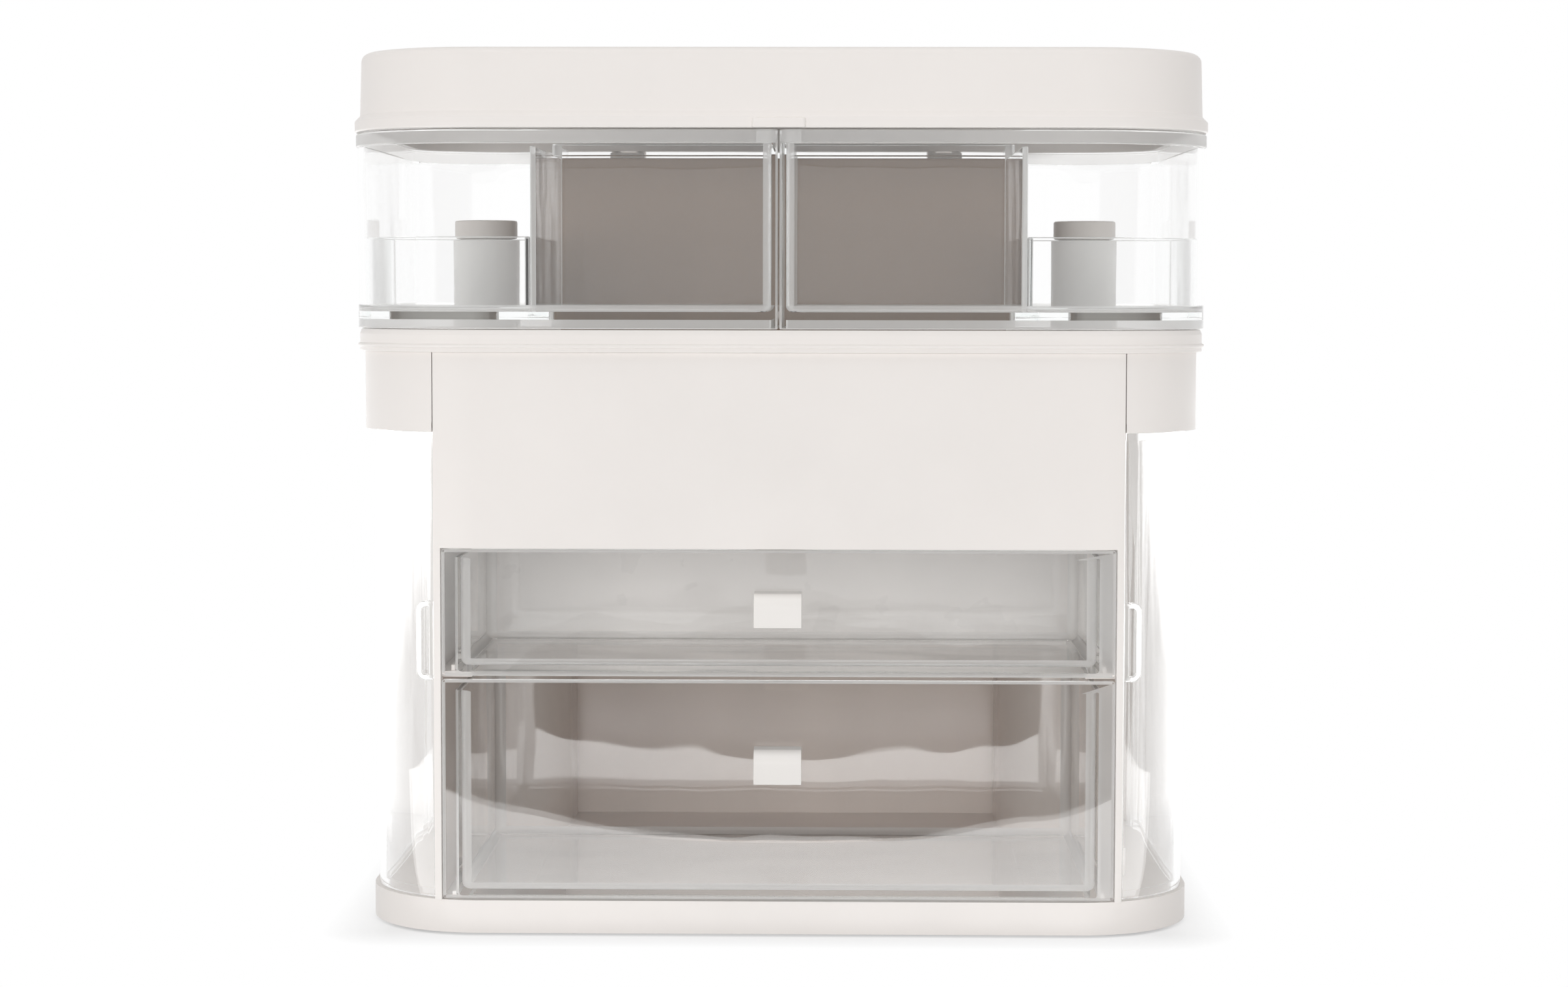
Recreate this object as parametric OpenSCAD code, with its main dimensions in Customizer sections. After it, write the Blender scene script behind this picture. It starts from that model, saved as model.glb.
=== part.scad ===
// Dustproof makeup organizer: a plinth with two drawers, two side doors,
// two swing-out clear bins on a mid tray, a fixed centre well and a hinged lid.
// Millimetres. The origin is at the middle of the bounding box, on the table.
// "Depth" counts from the flat front of the case towards its back.

/* [Case] */
// Width over the upper band
case_w = 333; // [325:1:345]
// Depth of the upper band, front face to back face
case_d = 210; // [205:1:222]
// Radius of the front corners
front_corner_r = 48.5; // [44:0.5:52]
// Distance of the wing pivots from the side and from the back of the case
pivot_inset = 34; // [33:0.5:35]
// Wall of the white shells
shell_t = 2.4; // [2:0.1:3]
// How far the plinth stands back from the case outline
plinth_in = 2.5; // [2:0.1:3]

/* [Base] */
// Height of the rubber feet below the plinth
foot_h = 1; // [0.8:0.1:2]
// Radius of a rubber foot
foot_r = 7; // [6:0.5:9]
// Distance of the feet from the sides of the case
foot_side = 45; // [40:1:55]
// Distance of the feet from the front and the back of the case
foot_end = 35; // [32:1:45]
// Height of the plinth
plinth_h = 13; // [12:0.5:16]
// Radius of the round columns that surround the pivot axes
column_r = 38; // [37.5:0.1:38.5]
// Radius of the curved front edge of the liner floor
liner_arc_r = 162; // [150:1:175]

/* [Drawers] */
// Width of a side compartment, from the drawer opening to the side of the case
side_w = 34.9; // [34:0.1:38]
// Height of the lower drawer front
lower_front_h = 86.2; // [80:0.2:92]
// Height of the upper drawer front
upper_front_h = 49.6; // [45:0.2:54]
// Gap between the two drawer fronts
drawer_gap = 1.4; // [1:0.1:2]
// Thickness of the drawer fronts
drawer_front_t = 2.5; // [2:0.1:3.2]
// Wall and floor of the drawer boxes
drawer_wall = 2.4; // [1.8:0.1:3]
// Length of the lower drawer box
lower_box_l = 130; // [110:1:131]
// Length of the upper drawer box
upper_box_l = 98; // [80:1:99]
// Length of the runner ribs on the plinth
guide_l = 118; // [90:1:124]
// Width of a pull
pull_w = 18.5; // [15:0.5:24]
// Height of a pull
pull_h = 13; // [11:0.5:16]
// Distance from the top of the lower drawer front down to its pull
lower_pull_drop = 25.7; // [20:0.1:34]
// Distance from the top of the upper drawer front down to its pull
upper_pull_drop = 16.1; // [10:0.1:20]
// How far a pull stands out
pull_out = 14; // [12:0.5:16]
// Thickness of a pull
pull_t = 2.2; // [1.8:0.1:2.6]

/* [Fascia and band] */
// Height of the fascia above the drawers, up to the mid tray
fascia_h = 75.9; // [72:0.1:80]
// Width of the fascia legs beside the drawers
leg_w = 2.8; // [2.6:0.1:3.2]
// Height of the upper band
band_h = 30.6; // [26:0.2:36]

/* [Side doors] */
// How far the doors stand back from the case outline
door_in = 4.3; // [4:0.1:5]
// Wall of the doors
door_t = 2.5; // [2:0.1:2.8]
// Radius of the door hinge barrel
barrel_r = 3; // [2.8:0.1:3.2]
// Radius of the door hinge pins
door_pin_r = 1.5; // [1.2:0.1:1.6]
// Height of the handle loop on a door
handle_h = 30.6; // [26:0.2:36]
// Width of the handle loop
handle_w = 6.4; // [6:0.1:7]

/* [Mid tray and well] */
// Height of the mid tray rim
tray_h = 8.8; // [8:0.1:10]
// How far the tray rim stands out from the case
tray_out = 2.4; // [2:0.1:2.6]
// Depth at which the well begins
well_front = 119.4; // [119:0.1:122]
// Wall of the well
well_t = 2; // [1.6:0.1:2.4]
// How far the edge of the well lies below the tops of the wings
well_drop = 5.9; // [4:0.1:9]
// Wall of the storage tray under the wings
store_t = 1.8; // [1.5:0.1:2.4]

/* [Wings] */
// Height of the clear wings
wing_h = 76.7; // [70:0.1:84]
// How far the wings stand out from the case
wing_out = 2.6; // [2.4:0.1:2.8]
// Wall of the wings
wing_t = 2.5; // [2.2:0.1:2.8]
// Thickness of the wing floor
wing_floor_t = 3; // [2.5:0.1:3.5]
// Height of the skirt below the wing floor
wing_skirt = 3.6; // [3:0.1:4]
// Height of the thick band along the top of a wing
wing_band_h = 5.3; // [4:0.1:7]
// Half of the gap between the wings
seam_half = 0.35; // [0.3:0.05:0.6]
// Radius of the pivot posts
post_r = 12; // [11:0.1:12.5]
// Height of the sleeve that turns on a post, above the skirt's foot
sleeve_h = 36.4; // [33:0.1:40]
// Height of a post cap
cap_h = 8.8; // [7:0.1:10]
// Height of the low inserts
insert_h = 29; // [24:0.5:32]
// Length of the low inserts
insert_l = 102; // [80:1:105]

/* [Lid] */
// Height of the lid
lid_h = 31.2; // [28:0.1:36]
// Height of the bead rim round the lid
lid_rim_h = 6.7; // [5:0.1:8]
// How far the lid body stands out from the case
lid_out = 1.2; // [0.8:0.1:1.6]
// How far the lid rim stands out from the case
rim_out = 3.7; // [3.4:0.1:4.2]
// Radius of the lid hinge knuckles
knuckle_r = 3.2; // [2.9:0.1:3.4]
// Radius of the lid hinge pins
lid_pin_r = 1.2; // [1:0.1:1.4]

/* [Hidden] */
$fn = 72;

// Clearances
seat = 0.05;        // between pieces that stand face to face
slip = 0.3;         // between pieces that move past each other
pin_slip = 0.06;    // radial, between a pin and its hole
eps = 0.01;         // overshoot of cuts

// Levels, counted up from the table
deck_z = foot_h + plinth_h;
lower_front_z = deck_z + 0.9;
upper_front_z = lower_front_z + lower_front_h + drawer_gap;
open_top_z = upper_front_z + upper_front_h + slip;
tray_z = open_top_z + fascia_h + 0.2;
band_z = tray_z - 0.2 - band_h;
tray_top_z = tray_z + tray_h;
tray_deck_t = 2.5;
tray_deck_z = tray_z + 2;
tray_floor_z = tray_deck_z + tray_deck_t;
wing_z = tray_top_z + slip;
wing_floor_z = wing_z + wing_skirt + wing_floor_t;
wing_top_z = wing_z + wing_h;
lid_z = wing_top_z + 0.5;
lid_top_z = lid_z + lid_h;

// Lid hinge
hinge_back = rim_out + knuckle_r + slip;
hinge_z = lid_z + 2.4;
face_d = 1.5;
// Depth of the case front, so that the whole object is centred on the origin
front_y = -((case_d + hinge_back + knuckle_r) + (face_d - pull_out)) / 2;
function dy(depth) = front_y + depth;
hinge_y = dy(case_d + hinge_back);

// Plan of the case
half_w = case_w / 2;
front_x = half_w - front_corner_r;
pivot_x = half_w - pivot_inset;
pivot_d = case_d - pivot_inset;
tip = 20;           // length that cutters run past the case

// Drawer bay and its walls, from the bay outwards
liner_t = 1.3;
wall_gap = 0.1;
partition_t = 1.6;
partition_in = liner_t + wall_gap;
partition_out = partition_in + partition_t;
back_in_d = case_d - plinth_in - shell_t;
bay_back_d = back_in_d - 2.1;
opening_half_w = half_w - side_w;
fascia_half_w = opening_half_w + leg_w;
leg_l = 5.6;        // how far a fascia leg reaches behind the skin
leg_d = shell_t + leg_l;
column_x = pivot_x - column_r;

// White, taupe, clear, grey, metal and rubber
white = [0.93, 0.91, 0.89];
shade = [0.80, 0.77, 0.75];
taupe = [0.57, 0.52, 0.49];
clear = [0.85, 0.92, 0.92, 0.45];
grey = [0.68, 0.66, 0.64];
steel = [0.75, 0.75, 0.77];
black = [0.2, 0.2, 0.2];

// ---- plan shapes ----

// Outline of the case, pushed out by o all round
module outline(o) {
  for (s = [-1, 1]) {
    translate([s * front_x, dy(front_corner_r)]) circle(front_corner_r + o);
    translate([s * pivot_x, dy(pivot_d)]) circle(pivot_inset + o);
  }
  polygon([[-front_x, dy(-o)], [front_x, dy(-o)],
    [half_w + o, dy(front_corner_r)], [half_w + o, dy(pivot_d)],
    [pivot_x, dy(case_d + o)], [-pivot_x, dy(case_d + o)],
    [-half_w - o, dy(pivot_d)], [-half_w - o, dy(front_corner_r)]]);
}

// Rectangle between two depths
module block(x0, x1, d0, d1) {
  translate([x0, dy(d0)]) square([x1 - x0, d1 - d0]);
}

// Drawer bay between its columns, pushed out by o
module bay(o) {
  difference() {
    block(-opening_half_w - o, opening_half_w + o, -tip, bay_back_d + o);
    for (s = [-1, 1]) {
      translate([s * pivot_x, dy(pivot_d)]) circle(column_r - o);
      block(min(s * (column_x + o), s * 2 * half_w), max(s * (column_x + o), s * 2 * half_w),
        pivot_d, case_d + tip);
    }
  }
}

// Everything on one side of the middle plane
module side_plan(s) {
  block(s > 0 ? 0 : -2 * half_w, s > 0 ? 2 * half_w : 0, -2 * tip, case_d + 2 * tip);
}

// Plan of a wing, drawn on the right and pulled in by o on every wall
wing_back_d = well_front - 1.2;
wing_end_r = pivot_inset + wing_out;
module wing_plan(o) {
  intersection() {
    outline(wing_out - o);
    union() {
      block(seam_half + o, 2 * half_w, -tip, wing_back_d - o);
      block(pivot_x - wing_end_r + o, 2 * half_w, -tip, pivot_d);
      translate([pivot_x, dy(pivot_d)]) circle(wing_end_r - o);
    }
  }
}

// ---- small repeated shapes ----

module at_z(z) { translate([0, 0, z]) children(); }
module flip(s) { if (s < 0) mirror([1, 0, 0]) children(); else children(); }
module prism(z0, z1) { at_z(z0) linear_extrude(z1 - z0) children(); }
module rod(r, z0, z1) { at_z(z0) cylinder(r = r, h = z1 - z0); }

// Rod along the depth, from depth d0 to d1
module depth_rod(x, z, r, d0, d1) {
  translate([x, dy(d0), z]) rotate([-90, 0, 0]) cylinder(r = r, h = d1 - d0);
}
// Rod along the width
module width_rod(x0, x1, y, z, r) {
  translate([x0, y, z]) rotate([0, 90, 0]) cylinder(r = r, h = x1 - x0);
}

// ---- base ----

foot_x = half_w - foot_side;
foot_d = [foot_end, case_d - foot_end];
foot_seat_h = 2.2;
screw_r = 1.5;
head_r = 3;
head_h = 2;
boss_t = 2.5;       // wall of a boss round a screw, a pin or a foot
screw_end = 0.5;    // room past the point of a screw
base_screw_x = fascia_half_w + screw_r + boss_t - 0.4;
base_screw_front = 62;
base_screw_back = 8; // in front of the columns
base_screw_d = [base_screw_front, pivot_d - column_r - base_screw_back];
runner_in = 3.9;
runner_x = column_x + runner_in;
runner_h = 1.4;
guide_h = 2.4;
lug_in = 16;        // from the pivot towards the middle
lug_x = pivot_x - lug_in;
lug_w = 12;
lug_h = 12;
lug_l = 8;
lug_d0 = back_in_d - wall_gap - lug_l;
barrel_in = 0.4;    // how far the barrel stays inside the face of its door
hinge_post_x = half_w - door_in - barrel_r - barrel_in;
hinge_post_d = pivot_d + 2.5;
pin_len = 5;
base_screw_l = 9;   // thread above the deck
head_floor = 0.6;   // extra floor under a screw head
head_seat_z = deck_z - shell_t - head_floor;

module foot_places() {
  for (s = [-1, 1]) for (d = foot_d) translate([s * foot_x, dy(d), 0]) children();
}
module base_screw_places() {
  for (s = [-1, 1]) for (d = base_screw_d) translate([s * base_screw_x, dy(d), 0]) children();
}
module lug_places() {
  for (s = [-1, 1]) translate([s * lug_x, 0, 0]) children();
}
module door_axes() {
  for (s = [-1, 1]) translate([s * hinge_post_x, dy(hinge_post_d), 0]) children();
}

module base_plinth() color(white) difference() {
  union() {
    difference() {
      prism(foot_h, deck_z) outline(-plinth_in);
      prism(foot_h - 1, deck_z - shell_t) outline(-plinth_in - shell_t);
    }
    foot_places() rod(foot_r + boss_t, foot_h, deck_z - eps);
    base_screw_places() rod(head_r + boss_t, foot_h + boss_t, deck_z - eps);
    door_axes() rod(door_pin_r + boss_t, deck_z - pin_len - screw_end, deck_z - eps);
    for (s = [-1, 1]) {
      prism(deck_z - eps, deck_z + runner_h)
        block(s * runner_x - 0.8, s * runner_x + 0.8, face_d + 8, face_d + guide_l);
      prism(deck_z - eps, deck_z + guide_h)
        block(s * guide_x - 0.8, s * guide_x + 0.8, face_d + 8, face_d + guide_l);
    }
    lug_places() prism(deck_z - eps, deck_z + lug_h)
      block(-lug_w / 2, lug_w / 2, lug_d0, back_in_d - 0.1);
  }
  foot_places() rod(foot_r + 0.1, 0, foot_h + foot_seat_h);
  base_screw_places() {
    rod(screw_r + 0.1, 0, deck_z + 1);
    rod(head_r + 0.2, 0, head_seat_z);
  }
  door_axes() rod(door_pin_r + seat, deck_z - pin_len, deck_z + 1);
  lug_places() depth_rod(0, deck_z + lug_h / 2, screw_r + seat, lug_d0 - 1, case_d);
}

module rubber_feet() color(black)
  foot_places() rod(foot_r, 0, foot_h + foot_seat_h - seat);

module base_screws() color(steel) base_screw_places() {
  rod(head_r, head_seat_z - head_h, head_seat_z - seat);
  rod(screw_r, head_seat_z - head_h + eps, deck_z + base_screw_l);
}

// ---- drawer bay ----

liner_top_z = upper_front_z - 1.5;
guide_x = opening_half_w - 4.1;
box_half_w = guide_x - 0.8 - slip;
liner_floor_t = 1.2;

module bay_liner() color(taupe) {
  difference() {
    prism(deck_z + seat, liner_top_z) intersection() {
      bay(liner_t);
      block(-2 * half_w, 2 * half_w, leg_d + wall_gap, case_d);
    }
    prism(deck_z, liner_top_z + 1) bay(0);
  }
  prism(deck_z + seat, deck_z + liner_floor_t) intersection() {
    bay(liner_t / 2);
    translate([0, dy(well_front + liner_arc_r)]) circle(liner_arc_r);
    block(-2 * half_w, 2 * half_w, well_front - 1, case_d);
  }
}

module partition(s) color(white) difference() {
  union() {
    prism(deck_z + seat, tray_z - seat) intersection() {
      difference() {
        bay(partition_out);
        bay(partition_in);
      }
      side_plan(s);
      block(-2 * half_w, 2 * half_w, leg_d + 0.4, bay_back_d + partition_in - eps);
    }
    for (d = base_screw_d) translate([s * base_screw_x, dy(d), 0])
      rod(screw_r + boss_t, deck_z + seat, deck_z + base_screw_l + boss_t);
  }
  for (d = base_screw_d) translate([s * base_screw_x, dy(d), 0])
    rod(screw_r + seat, deck_z, deck_z + base_screw_l + screw_end);
}
module partition_left() partition(-1);
module partition_right() partition(1);

rail_t = 2.4;
rail_z = upper_front_z - 1.2;
rail_w = 13;
rail_out = opening_half_w + partition_in - wall_gap / 2;
stop_d = face_d + drawer_front_t + upper_box_l + 1.5;
module runner_frame() color(shade) {
  for (s = [-1, 1]) {
    prism(rail_z, rail_z + rail_t)
      block(min(s * rail_out, s * (rail_out - rail_w)), max(s * rail_out, s * (rail_out - rail_w)),
        leg_d + wall_gap, stop_d + eps);
    prism(rail_z + rail_t - eps, rail_z + rail_t + guide_h)
      block(s * guide_x - 0.8, s * guide_x + 0.8, leg_d + 1, stop_d + eps);
  }
  prism(rail_z, open_top_z - seat) block(-rail_out, rail_out, stop_d, stop_d + store_t);
}

// ---- white shells ----

module front_fascia() color(white) {
  difference() {
    prism(open_top_z, tray_z - seat) intersection() {
      outline(0);
      block(-fascia_half_w, fascia_half_w, -tip, leg_d + 0.4);
    }
    prism(open_top_z + shell_t, tray_z + 1) outline(-shell_t);
  }
  for (s = [-1, 1])
    prism(deck_z + seat, open_top_z + eps) intersection() {
      outline(0);
      block(min(s * fascia_half_w, s * opening_half_w), max(s * fascia_half_w, s * opening_half_w),
        -tip, leg_d);
    }
}

module upper_band() color(white) difference() {
  union() {
    difference() {
      prism(band_z, tray_z - seat) outline(0);
      prism(band_z + shell_t, tray_z) outline(-shell_t);
      prism(band_z - 1, band_z + shell_t + 1) bay(partition_out + 0.2);
    }
    lug_places() prism(band_z - lug_h, band_z + eps)
      block(-lug_w / 2, lug_w / 2, lug_d0, back_in_d - 0.1);
  }
  prism(band_z - 1, tray_z + 1)
    block(-fascia_half_w - 0.3, fascia_half_w + 0.3, -tip, leg_d + 1.4);
  door_axes() rod(door_pin_r + seat, band_z - 1, band_z + shell_t + 1);
  lug_places() depth_rod(0, band_z - lug_h / 2, screw_r + seat, lug_d0 - 1, case_d - shell_t - 0.5);
}

module back_shell() color(white) difference() {
  prism(deck_z + seat, band_z - seat) difference() {
    outline(-plinth_in);
    outline(-plinth_in - shell_t);
    block(-2 * half_w, 2 * half_w, -tip, hinge_post_d + barrel_r + 0.6);
  }
  lug_places() for (z = [deck_z + lug_h / 2, band_z - lug_h / 2])
    depth_rod(0, z, screw_r + seat, lug_d0, case_d);
}

low_head_h = 1.6;
module back_screws() color(steel)
  lug_places() for (z = [deck_z + lug_h / 2, band_z - lug_h / 2]) {
    depth_rod(0, z, screw_r, lug_d0 + 1, case_d - plinth_in + head_h / 4);
    depth_rod(0, z, head_r, case_d - plinth_in + seat, case_d - plinth_in + low_head_h);
  }

module door_pins() color(steel) door_axes() {
  rod(door_pin_r, deck_z - pin_len + seat, deck_z + pin_len);
  rod(door_pin_r, band_z - pin_len, band_z + shell_t);
}

// ---- mid tray, storage tray and well ----

well_back = back_in_d - 0.1;
well_half_w = pivot_x - wing_end_r - 1.1;
store_half_w = fascia_half_w - 7.3;
store_front = shell_t + 3.9;
store_back = well_front - 3.3;
tray_hole = 0.3;

module mid_tray() color(white) difference() {
  union() {
    prism(tray_z, tray_top_z) difference() {
      outline(tray_out);
      outline(tray_out - shell_t - 1.4);
    }
    prism(tray_z + 1.6, tray_z + 3) difference() {
      outline(tray_out + 0.5);
      outline(tray_out - 1);
    }
    prism(tray_deck_z, tray_floor_z) outline(tray_out - 1);
  }
  prism(tray_z - 1, tray_top_z)
    block(-store_half_w - tray_hole, store_half_w + tray_hole,
      store_front - tray_hole, store_back + tray_hole);
  prism(tray_z - 1, tray_top_z)
    block(-well_half_w - tray_hole, well_half_w + tray_hole,
      well_front - tray_hole, well_back + tray_hole);
}

// Open box with a flange that hangs on the deck of the mid tray
module hung_box(hw, d0, d1, z0, z1, t, lip_side, lip_end) {
  difference() {
    union() {
      prism(z0, z1) block(-hw, hw, d0, d1);
      prism(tray_floor_z + seat, tray_floor_z + 1.6)
        block(-hw - lip_side, hw + lip_side, d0 - lip_end, d1 + lip_end);
    }
    prism(z0 + t, z1 + 1) block(-hw + t, hw - t, d0 + t, d1 - t);
  }
}

module storage_tray() color(shade)
  hung_box(store_half_w, store_front, store_back, open_top_z + shell_t + 0.3,
    tray_floor_z + 1.6, store_t, 2, 1.3);

well_z = upper_front_z + 2;
well_top_z = wing_top_z - well_drop;
module centre_well() color(taupe)
  hung_box(well_half_w, well_front, well_back, well_z, well_top_z, well_t, 1.6, 1.4);

// ---- pivots ----

post_top_z = wing_z + sleeve_h + slip;
post_base_r = 17;
cap_r = post_r + 2;
screw_len = 16;

module pivot_post(s) color(shade) translate([s * pivot_x, dy(pivot_d), 0]) difference() {
  union() {
    rod(post_base_r, tray_floor_z + seat, tray_floor_z + 2.4);
    rod(post_r, tray_floor_z + seat, post_top_z);
  }
  rod(screw_r + seat, post_top_z - screw_len, post_top_z + 1);
}
module pivot_post_left() pivot_post(-1);
module pivot_post_right() pivot_post(1);

module post_cap(s) color(grey) translate([s * pivot_x, dy(pivot_d), 0]) difference() {
  rod(cap_r, post_top_z + seat, post_top_z + cap_h);
  rod(screw_r + 0.1, post_top_z, post_top_z + cap_h);
  rod(head_r + 0.2, post_top_z + cap_h - head_h - 0.4, post_top_z + cap_h + 1);
}
module post_cap_left() post_cap(-1);
module post_cap_right() post_cap(1);

module cap_screws() color(steel)
  for (s = [-1, 1]) translate([s * pivot_x, dy(pivot_d), 0]) {
    rod(screw_r, post_top_z - screw_len + 1, post_top_z + cap_h - 1);
    rod(head_r, post_top_z + cap_h - head_h - 0.35, post_top_z + cap_h - 0.4);
  }

// ---- lid and its hinge ----

knuckle_x = 71.4;
knuckle_half = 3.2;
ear_w = 4.2;
rail_over = 18;     // the rail reaches this far past the middles of the hinges
rail_plate_t = 3.2;
rail_plate_h = 17;
rail_top_z = lid_z - 0.6;
arm_t = 4.8;
leaf_t = 2.8;
leaf_out = 1.6;     // thickness of a leaf where it lies on the lid
leaf_h = 9;
lid_screw_in = 1.8; // how far the screws reach into the wall of the lid
lid_head_d = leaf_out + seat;
lid_head_r = head_r - 0.6;

hinge_half_w = knuckle_half + slip + ear_w;

// Ranges along the width that the fixed ears fill
ear_spans = [for (s = [-1, 1], e = [-1, 1])
  let (mid = s * knuckle_x + e * (knuckle_half + slip + ear_w / 2))
  [mid - ear_w / 2, mid + ear_w / 2]];

module across(x0, x1) {
  translate([x0, 0, 0]) rotate([90, 0, 90]) linear_extrude(x1 - x0) children();
}

module hinge_rail() color(white) difference() {
  union() {
    at_z(well_top_z - rail_plate_h)
      translate([-knuckle_x - rail_over, dy(well_back + seat), 0])
      cube([2 * (knuckle_x + rail_over), rail_plate_t, rail_plate_h]);
    for (s = [-1, 1]) translate([s * knuckle_x - hinge_half_w, dy(well_back + seat), well_top_z - 1])
      cube([2 * hinge_half_w, rail_plate_t, rail_top_z - well_top_z + 1]);
    for (e = ear_spans) {
      across(e[0], e[1]) polygon([[dy(well_back + 1), rail_top_z - arm_t],
        [hinge_y, rail_top_z - arm_t], [hinge_y + knuckle_r, hinge_z],
        [hinge_y, hinge_z], [hinge_y - knuckle_r, hinge_z],
        [hinge_y - knuckle_r, rail_top_z], [dy(well_back + 1), rail_top_z]]);
      width_rod(e[0], e[1], hinge_y, hinge_z, knuckle_r);
    }
  }
  width_rod(-2 * knuckle_x, 2 * knuckle_x, hinge_y, hinge_z, lid_pin_r + pin_slip);
}

module hinge_pins() color(steel) for (s = [-1, 1])
  width_rod(s * knuckle_x - hinge_half_w, s * knuckle_x + hinge_half_w, hinge_y, hinge_z, lid_pin_r);

module lid_hinge_leaves() color(white) difference() {
  for (s = [-1, 1]) union() {
    across(s * knuckle_x - knuckle_half, s * knuckle_x + knuckle_half)
      polygon([[dy(case_d + rim_out) + seat, hinge_z - leaf_t / 2],
        [hinge_y, hinge_z - leaf_t / 2], [hinge_y, hinge_z + knuckle_r],
        [dy(case_d + rim_out) + seat, hinge_z + knuckle_r]]);
    width_rod(s * knuckle_x - knuckle_half, s * knuckle_x + knuckle_half, hinge_y, hinge_z, knuckle_r);
    across(s * knuckle_x - knuckle_half, s * knuckle_x + knuckle_half)
      polygon([[dy(case_d + lid_out) + seat, lid_z + lid_rim_h + seat],
        [dy(case_d + rim_out) + leaf_out, lid_z + lid_rim_h + seat],
        [dy(case_d + lid_out) + leaf_out, lid_z + lid_rim_h + leaf_h],
        [dy(case_d + lid_out) + seat, lid_z + lid_rim_h + leaf_h]]);
    across(s * knuckle_x - knuckle_half, s * knuckle_x + knuckle_half)
      polygon([[dy(case_d + rim_out) + seat, hinge_z],
        [dy(case_d + rim_out) + leaf_out, hinge_z],
        [dy(case_d + rim_out) + leaf_out, lid_z + lid_rim_h + 2],
        [dy(case_d + rim_out) + seat, lid_z + lid_rim_h + 2]]);
  }
  width_rod(-2 * knuckle_x, 2 * knuckle_x, hinge_y, hinge_z, lid_pin_r + pin_slip);
  lid_screw_rods(screw_r + 0.1, -lid_screw_in, leaf_h);
  lid_screw_rods(lid_head_r + 0.1, leaf_out, leaf_h);
}

module lid_screw_rods(r, d0, d1) {
  for (s = [-1, 1]) depth_rod(s * knuckle_x, lid_z + lid_rim_h + leaf_h - 3,
    r, case_d + lid_out + d0, case_d + lid_out + d1);
}

module lid_screws() color(steel) {
  lid_screw_rods(screw_r, -lid_screw_in, lid_head_d + eps);
  lid_screw_rods(lid_head_r, lid_head_d, lid_head_d + low_head_h);
}

tab_half_w = 10.4;
tab_h = 3.8;
tab_out = 1.2;
lid_top_t = 2.4;
edge_step = 1.4;
module lid_shell() color(white) difference() {
  union() {
    prism(lid_z, lid_top_z - edge_step) outline(lid_out);
    prism(lid_top_z - edge_step - eps, lid_top_z) outline(lid_out - edge_step);
    prism(lid_z, lid_z + lid_rim_h) outline(rim_out);
    prism(lid_z + 0.1, lid_z + tab_h) block(-tab_half_w, tab_half_w, -rim_out - tab_out, 0);
  }
  prism(lid_z - 1, lid_top_z - lid_top_t) outline(lid_out - shell_t);
  lid_screw_rods(screw_r + seat, -shell_t - 1, 1);
}

// ---- wings, drawn on the right and mirrored for the left ----

sleeve_r = post_r + 3.1;
band_out = 0.3;
catch_w = 8.35;
catch_t = 4.2;
magnet_r = 0.95;
magnet_x = seam_half + 1.3;
magnet_z = wing_top_z - 2.9;
magnet_l = 3.4;
divider_x = pivot_x - wing_end_r - 0.1;
divider_t = 2.2;
divider_top_z = wing_top_z - 6.4;

// The band stands out only on the walls that follow the outline of the case
module wing_band_plan() intersection() {
  difference() {
    outline(wing_out + band_out);
    outline(wing_out - wing_t / 2);
  }
  block(seam_half, 2 * half_w, -tip, pivot_d);
}

module wing_bin(s) color(clear) flip(s) difference() {
  union() {
    difference() {
      union() {
        prism(wing_z, wing_top_z) wing_plan(0);
        prism(wing_top_z - wing_band_h, wing_top_z) wing_band_plan();
      }
      prism(wing_floor_z, wing_top_z + 1) wing_plan(wing_t);
      prism(wing_z - 1, wing_z + wing_skirt) wing_plan(wing_t);
    }
    prism(wing_top_z - wing_band_h, wing_top_z) intersection() {
      outline(wing_out + band_out);
      block(seam_half, seam_half + catch_w, -tip, catch_t - wing_out);
    }
    translate([pivot_x, dy(pivot_d), 0]) rod(sleeve_r, wing_z, wing_z + sleeve_h);
  }
  translate([pivot_x, dy(pivot_d), 0])
    rod(post_r + pin_slip, wing_z - 1, wing_z + sleeve_h + 1);
  depth_rod(magnet_x, magnet_z, magnet_r + seat, -wing_out + 0.6, catch_t);
}
module wing_left_bin() wing_bin(-1);
module wing_right_bin() wing_bin(1);

module wing_divider(s) color(clear) flip(s) {
  prism(wing_floor_z + seat, divider_top_z)
    block(divider_x - divider_t, divider_x, -wing_out + wing_t + 0.3,
      wing_back_d - wing_t - 0.3);
}
module wing_left_divider() wing_divider(-1);
module wing_right_divider() wing_divider(1);

insert_t = 1.5;
module insert_plan(o) {
  intersection() {
    outline(wing_out - wing_t - 0.3 - o);
    block(divider_x + 0.3 + o, 2 * half_w, -tip, insert_l - o);
  }
}
module wing_insert(s) color(clear) flip(s) difference() {
  prism(wing_floor_z + seat, wing_floor_z + insert_h) insert_plan(0);
  prism(wing_floor_z + seat + insert_t, wing_floor_z + insert_h + 1) insert_plan(insert_t);
}
module wing_left_insert() wing_insert(-1);
module wing_right_insert() wing_insert(1);

module wing_magnet(s) color(steel) flip(s)
  depth_rod(magnet_x, magnet_z, magnet_r, -wing_out + 0.6 + seat, -wing_out + 0.6 + magnet_l);
module wing_left_magnet() wing_magnet(-1);
module wing_right_magnet() wing_magnet(1);

// ---- drawers ----

front_half_w = opening_half_w - 0.4;
lower_floor_z = deck_z + runner_h + slip;
upper_floor_z = rail_z + rail_t + slip;

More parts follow.
